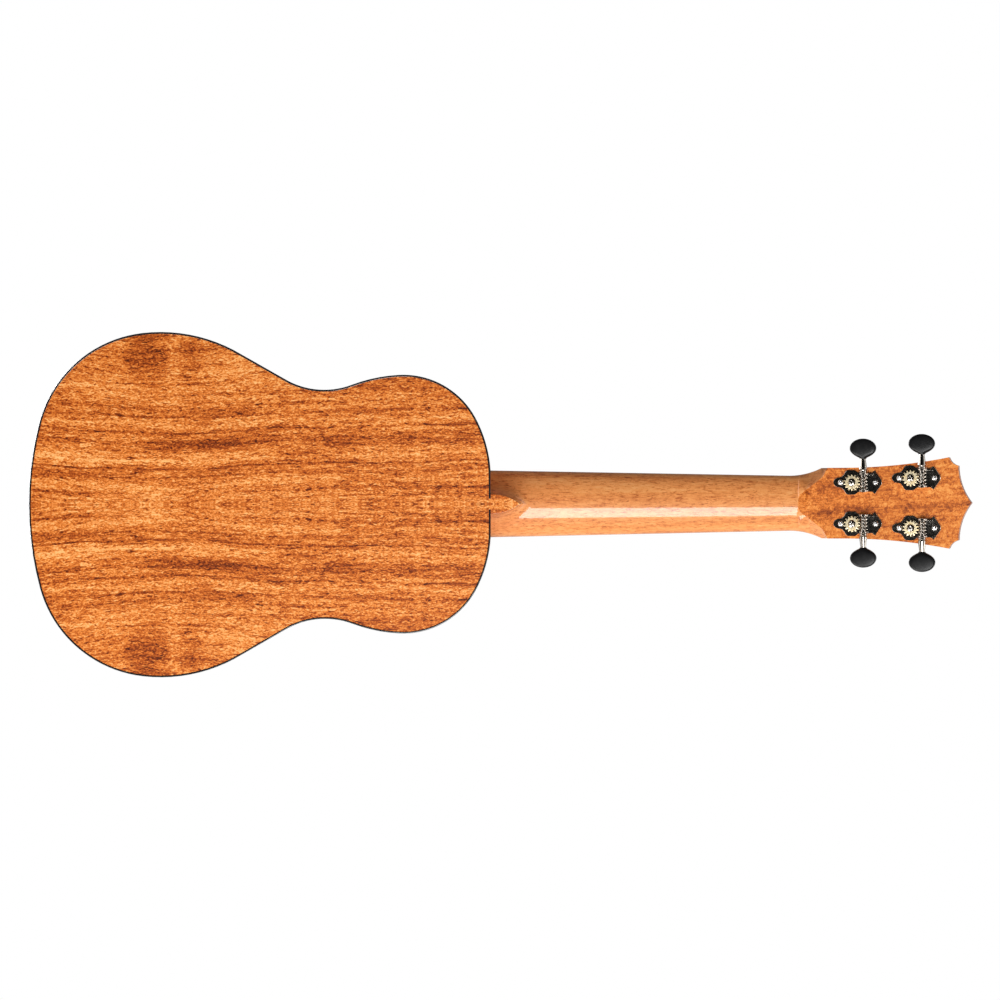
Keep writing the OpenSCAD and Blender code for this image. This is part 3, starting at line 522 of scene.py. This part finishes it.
def neck_ring(s):
    depth, lean, half, flat = neck_depth(s), neck_lean(s), neck_half(s), neck_flat(s)
    power = 2 / mix(2.0, 1.1, smooth((back_x(s) - APEX_X + 2 * MM) / (10 * MM)))
    quarter = []
    for k in range(PROFILE + 1):
        q = math.pi / 2 * k / PROFILE
        across = flat + (half - flat) * math.sin(q) ** power
        quarter.append((across, depth * max(0.0, math.cos(q)) ** power))
    ring = [(w, d) for w, d in reversed(quarter)] + [(-w, d) for w, d in quarter]
    return [neck_top(s) + Vector((-d * math.sin(lean), w, -d * math.cos(lean))) for w, d in ring]


CAP_LOW, CAP_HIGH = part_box("heel_cap")
HEEL_L = CAP_HIGH.x - JOINT_X
HEEL_HALF_W = (CAP_HIGH.y - CAP_LOW.y) / 2
HEEL_RISE = GLUE_Z - JOINT_DEPTH - CAP_HIGH.z
HEEL_FILLET = 8 * MM
# The part of the rise that is below the fillet
HEEL_PLAIN = 0.84
HEEL_STEPS = 24
# How far the top of the fillet reaches into the neck's wood
HEEL_SINK = 0.08 * MM


def heel_arch(length, half, power=1.8):
    """The pointed arch of the heel's section, from one side of the body joint to the other."""
    arch = []
    for k in range(-HEEL_STEPS, HEEL_STEPS + 1):
        q = math.pi / 2 * (HEEL_STEPS - abs(k)) / HEEL_STEPS
        y = -math.copysign(half, k) * max(0.0, math.cos(q)) ** power if k else 0.0
        arch.append((length * math.sin(q), y))
    return arch


def heel_ring(rise):
    """The heel's section at a rise from 0 at its cap to 1, where its fillet runs out on the neck."""
    u = clamp(1 - (1 - rise) * HEEL_RISE / HEEL_FILLET)
    spread = rise * MM + HEEL_FILLET * (1 - math.sqrt(1 - u * u))
    ring = []
    for x, y in heel_arch(HEEL_L + spread, HEEL_HALF_W + spread, mix(1.8, 1.25, u * u)):
        under = GLUE_Z - neck_depth(x) * math.sqrt(1 - (y / taper(x)) ** 2) + HEEL_SINK
        ring.append(Vector((JOINT_X + x, y, mix(CAP_HIGH.z, under, rise))))
    return ring


def neck():
    stations = [PLAIN_STEP * k for k in range(round(NOSE / PLAIN_STEP))]
    stations += [NOSE + NOSE_STEP * k for k in range(round((PAST_NOSE - NOSE) / NOSE_STEP))]
    stations += [PAST_NOSE + END_STEP * k for k in range(int((NECK_END - PAST_NOSE) / END_STEP))]
    stations.append(NECK_END)
    wood = [finishes["neck_mahogany"], finishes["head_mahogany"]]
    piece = loft("neck_smooth", [neck_ring(s) for s in stations], wood,
                 lambda i, j: j == PROFILE and past_apex(stations[i]) > 0)
    rises = [HEEL_PLAIN * k / 20 for k in range(20)]
    rises += [1 - (1 - HEEL_PLAIN) * (1 - math.sin(math.pi / 2 * k / 30)) for k in range(31)]
    rings = [heel_ring(rise) for rise in rises]
    rings.append([Vector((JOINT_X + x, y, GLUE_Z - 5 * MM)) for x, y in heel_arch(HEEL_L, HEEL_HALF_W)])
    heel = loft("neck_heel", rings, wood)
    joined = piece.modifiers.new("heel", "BOOLEAN")
    joined.operation = "UNION"
    joined.solver = "EXACT"
    joined.object = heel
    bpy.context.view_layer.update()
    whole = bpy.data.meshes.new_from_object(piece.evaluated_get(bpy.context.evaluated_depsgraph_get()))
    piece.modifiers.clear()
    piece.data = whole
    bpy.data.objects.remove(heel)
    finish_edges(piece)
    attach(piece, ROOT)
    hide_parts("neck")


# --- buttons ----------------------------------------------------------------------------------

BUTTON_WIDEST = 0.52
BUTTON_RINGS = 48
BUTTON_SIDES = 56


def button_half(t):
    """Half width of a button along its length, as a part of its greatest half width."""
    reach = BUTTON_WIDEST if t < BUTTON_WIDEST else 1 - BUTTON_WIDEST
    round_off = max(0.0, 1 - ((t - BUTTON_WIDEST) / reach) ** 2)
    oval = round_off ** (0.75 if t < BUTTON_WIDEST else 0.5)
    return max(oval, min(1.0, 0.24 + 1.1 * t)) if t < 0.2 else oval


def button(letter):
    """An oval button with nearly flat faces and a rounded rim, drawn in to a round neck."""
    low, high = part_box(f"button_{letter}")
    side = 1 if joints[f"{letter}_button_turn"]["axis"][1] > 0 else -1
    length = high.y - low.y
    start = low.y if side > 0 else high.y
    centre = Vector(joints[f"{letter}_button_turn"]["pos_m"])
    half_w = (high.x - low.x) / 2
    half_t = (high.z - low.z) / 2 * 0.8
    along = Vector((math.cos(HEAD_TILT), 0, -math.sin(HEAD_TILT)))
    up = Vector((math.sin(HEAD_TILT), 0, math.cos(HEAD_TILT)))
    rings = []
    for k in range(BUTTON_RINGS + 1):
        t = 0.9995 * (1 - math.cos(math.pi * k / BUTTON_RINGS)) / 2
        w = button_half(t)
        thick = max(0.7, w ** 0.25) * min(1.0, w / 0.2) ** 0.5
        flatten = smooth(t / 0.3)
        ring = []
        for j in range(BUTTON_SIDES):
            a = 2 * math.pi * j / BUTTON_SIDES
            out = math.copysign(abs(math.cos(a)) ** mix(1.0, 0.75, flatten), math.cos(a))
            rise = math.copysign(abs(math.sin(a)) ** mix(1.0, 0.22, flatten), math.sin(a))
            middle = Vector((centre.x, start + side * length * t, centre.z))
            ring.append(middle + along * half_w * w * out + up * half_t * thick * rise)
        rings.append(ring)
    piece = loft(f"button_smooth_{letter}", rings, [finishes["button_black"]])
    finish_edges(piece)
    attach(piece, f"{letter}_button_shaft")
    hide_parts(f"button_{letter}")


# --- camera, lights and floor -----------------------------------------------------------------

VIEW_DISTANCE = 2.2
FIELD = 0.6821
SENSOR = 36.0
ROLL = math.radians(0.12)
FLOOR_HALF = 4.0
FLOOR_GAP = 0.5 * MM


def camera():
    """Square to the back from straight below, with the tail to the left."""
    data = bpy.data.cameras.new("camera")
    data.sensor_width = SENSOR
    data.lens = SENSOR * VIEW_DISTANCE / FIELD
    data.clip_start = 0.05
    data.clip_end = 40
    cam = bpy.data.objects.new("camera", data)
    bpy.context.scene.collection.objects.link(cam)
    middle = Vector((JOINT_X + 6.4 * MM, -2.7 * MM, -VIEW_DISTANCE))
    right = Vector((math.cos(ROLL), math.sin(ROLL), 0))
    up = Vector((math.sin(ROLL), -math.cos(ROLL), 0))
    turn = Matrix((right, up, right.cross(up))).transposed().to_4x4()
    cam.matrix_world = Matrix.Translation(middle) @ turn
    bpy.context.scene.camera = cam


def softbox(name, place, aim, width, height, watts, colour=(1, 1, 1)):
    """An oblong light whose width lies along X."""
    data = bpy.data.lights.new(name, "AREA")
    data.shape = "RECTANGLE"
    data.size = width
    data.size_y = height
    data.energy = watts
    data.color = colour
    light = bpy.data.objects.new(name, data)
    light.visible_camera = False
    bpy.context.scene.collection.objects.link(light)
    back = (Vector(place) - Vector(aim)).normalized()
    right = (Vector((1, 0, 0)) - back * back.x).normalized()
    turn = Matrix((right, back.cross(right), back)).transposed().to_4x4()
    light.matrix_world = Matrix.Translation(place) @ turn
    return light


def lights():
    softbox("key_below", (-1.0, 1.5, -1.6), (0, 0, 0.03), 1.1, 0.9, 31, (1.0, 0.985, 0.96))
    softbox("strip_below", (0.20, 0.66, -1.60), (0.20, 0.64, 0.05), 0.7, 0.81, 20)
    softbox("edge_tail", (-1.7, -0.25, -0.75), (0.2, 0, 0.03), 0.4, 0.9, 5)
    softbox("edge_head", (1.9, 0.1, -0.75), (0.2, 0, 0.03), 0.4, 0.9, 5)
    softbox("top_above", (-1.5, -0.3, 1.7), (0, 0, 0.03), 1.3, 1.0, 42)
    softbox("side_above", (1.9, 0.8, 1.3), (0, 0, 0.03), 1.0, 1.0, 14)


class Studio(Nodes):
    """The surroundings: white to the eye; for light and reflections a dark card below, round which
    the key's side is brighter, a grey above, and a glow on the horizon past each end."""

    def __init__(self):
        made = bpy.data.worlds.new("studio")
        bpy.context.scene.world = made
        made.use_nodes = True
        self.tree = made.node_tree
        self.place_from("Generated")
        lean = self.math("MULTIPLY", self.x, math.sin(HEAD_TILT))
        towards = self.math("MULTIPLY_ADD", self.z, math.cos(HEAD_TILT), lean)
        card = self.remap(towards, -0.86, -0.60, 0.02, 1.0)
        side = self.remap(self.y, -0.9, 0.9, 0.04, 0.36)
        above = self.remap(self.z, -0.15, 0.25, 0.0, 1.0)
        sky = self.remap(self.y, -0.5, 0.5, 0.12, 0.5)
        level = self.math("MULTIPLY_ADD", above, self.math("SUBTRACT", sky, side), side)
        ends = self.remap(self.math("ABSOLUTE", self.x), 0.4, 0.85, 0.0, 1.8)
        horizon = self.remap(self.math("ABSOLUTE", self.z), 0.10, 0.35, 1.0, 0.0)
        level = self.math("MULTIPLY_ADD", ends, horizon, level)
        seen = self.tree.nodes.new("ShaderNodeLightPath").outputs["Is Camera Ray"]
        strength = self.math("MAXIMUM", seen, self.math("MULTIPLY", level, card))
        back = self.tree.nodes["Background"]
        self.put(strength, back.inputs["Strength"])
        back.inputs["Color"].default_value = (1, 1, 1, 1)


def floor():
    """A pale floor that shows from above only, so that the back can be seen from below."""
    half = FLOOR_HALF
    z = -FLOOR_GAP
    s = Shader("floor_pale")
    s.set(Base_Color=(0.82, 0.82, 0.82, 1), Roughness=0.9, Specular_IOR_Level=0.1)
    tree = s.tree
    clear = tree.nodes.new("ShaderNodeBsdfTransparent")
    pick = tree.nodes.new("ShaderNodeMixShader")
    facing = tree.nodes.new("ShaderNodeNewGeometry")
    tree.links.new(facing.outputs["Backfacing"], pick.inputs[0])
    tree.links.new(s.surface.outputs[0], pick.inputs[1])
    tree.links.new(clear.outputs[0], pick.inputs[2])
    tree.links.new(pick.outputs[0], tree.nodes["Material Output"].inputs["Surface"])
    plane = new_object("floor", [(-half, -half, z), (half, -half, z), (half, half, z), (-half, half, z)],
                       [(0, 1, 2, 3)], [s.material])
    if plane.data.polygons[0].normal.z < 0:
        plane.data.flip_normals()
    plane.visible_shadow = False
    plane.visible_diffuse = False
    plane.visible_glossy = False
    plane.visible_transmission = False


neck()
for each in LETTERS:
    button(each)
camera()
lights()
Studio()
floor()
bpy.context.scene.view_settings.view_transform = "Standard"

bpy.context.view_layer.update()
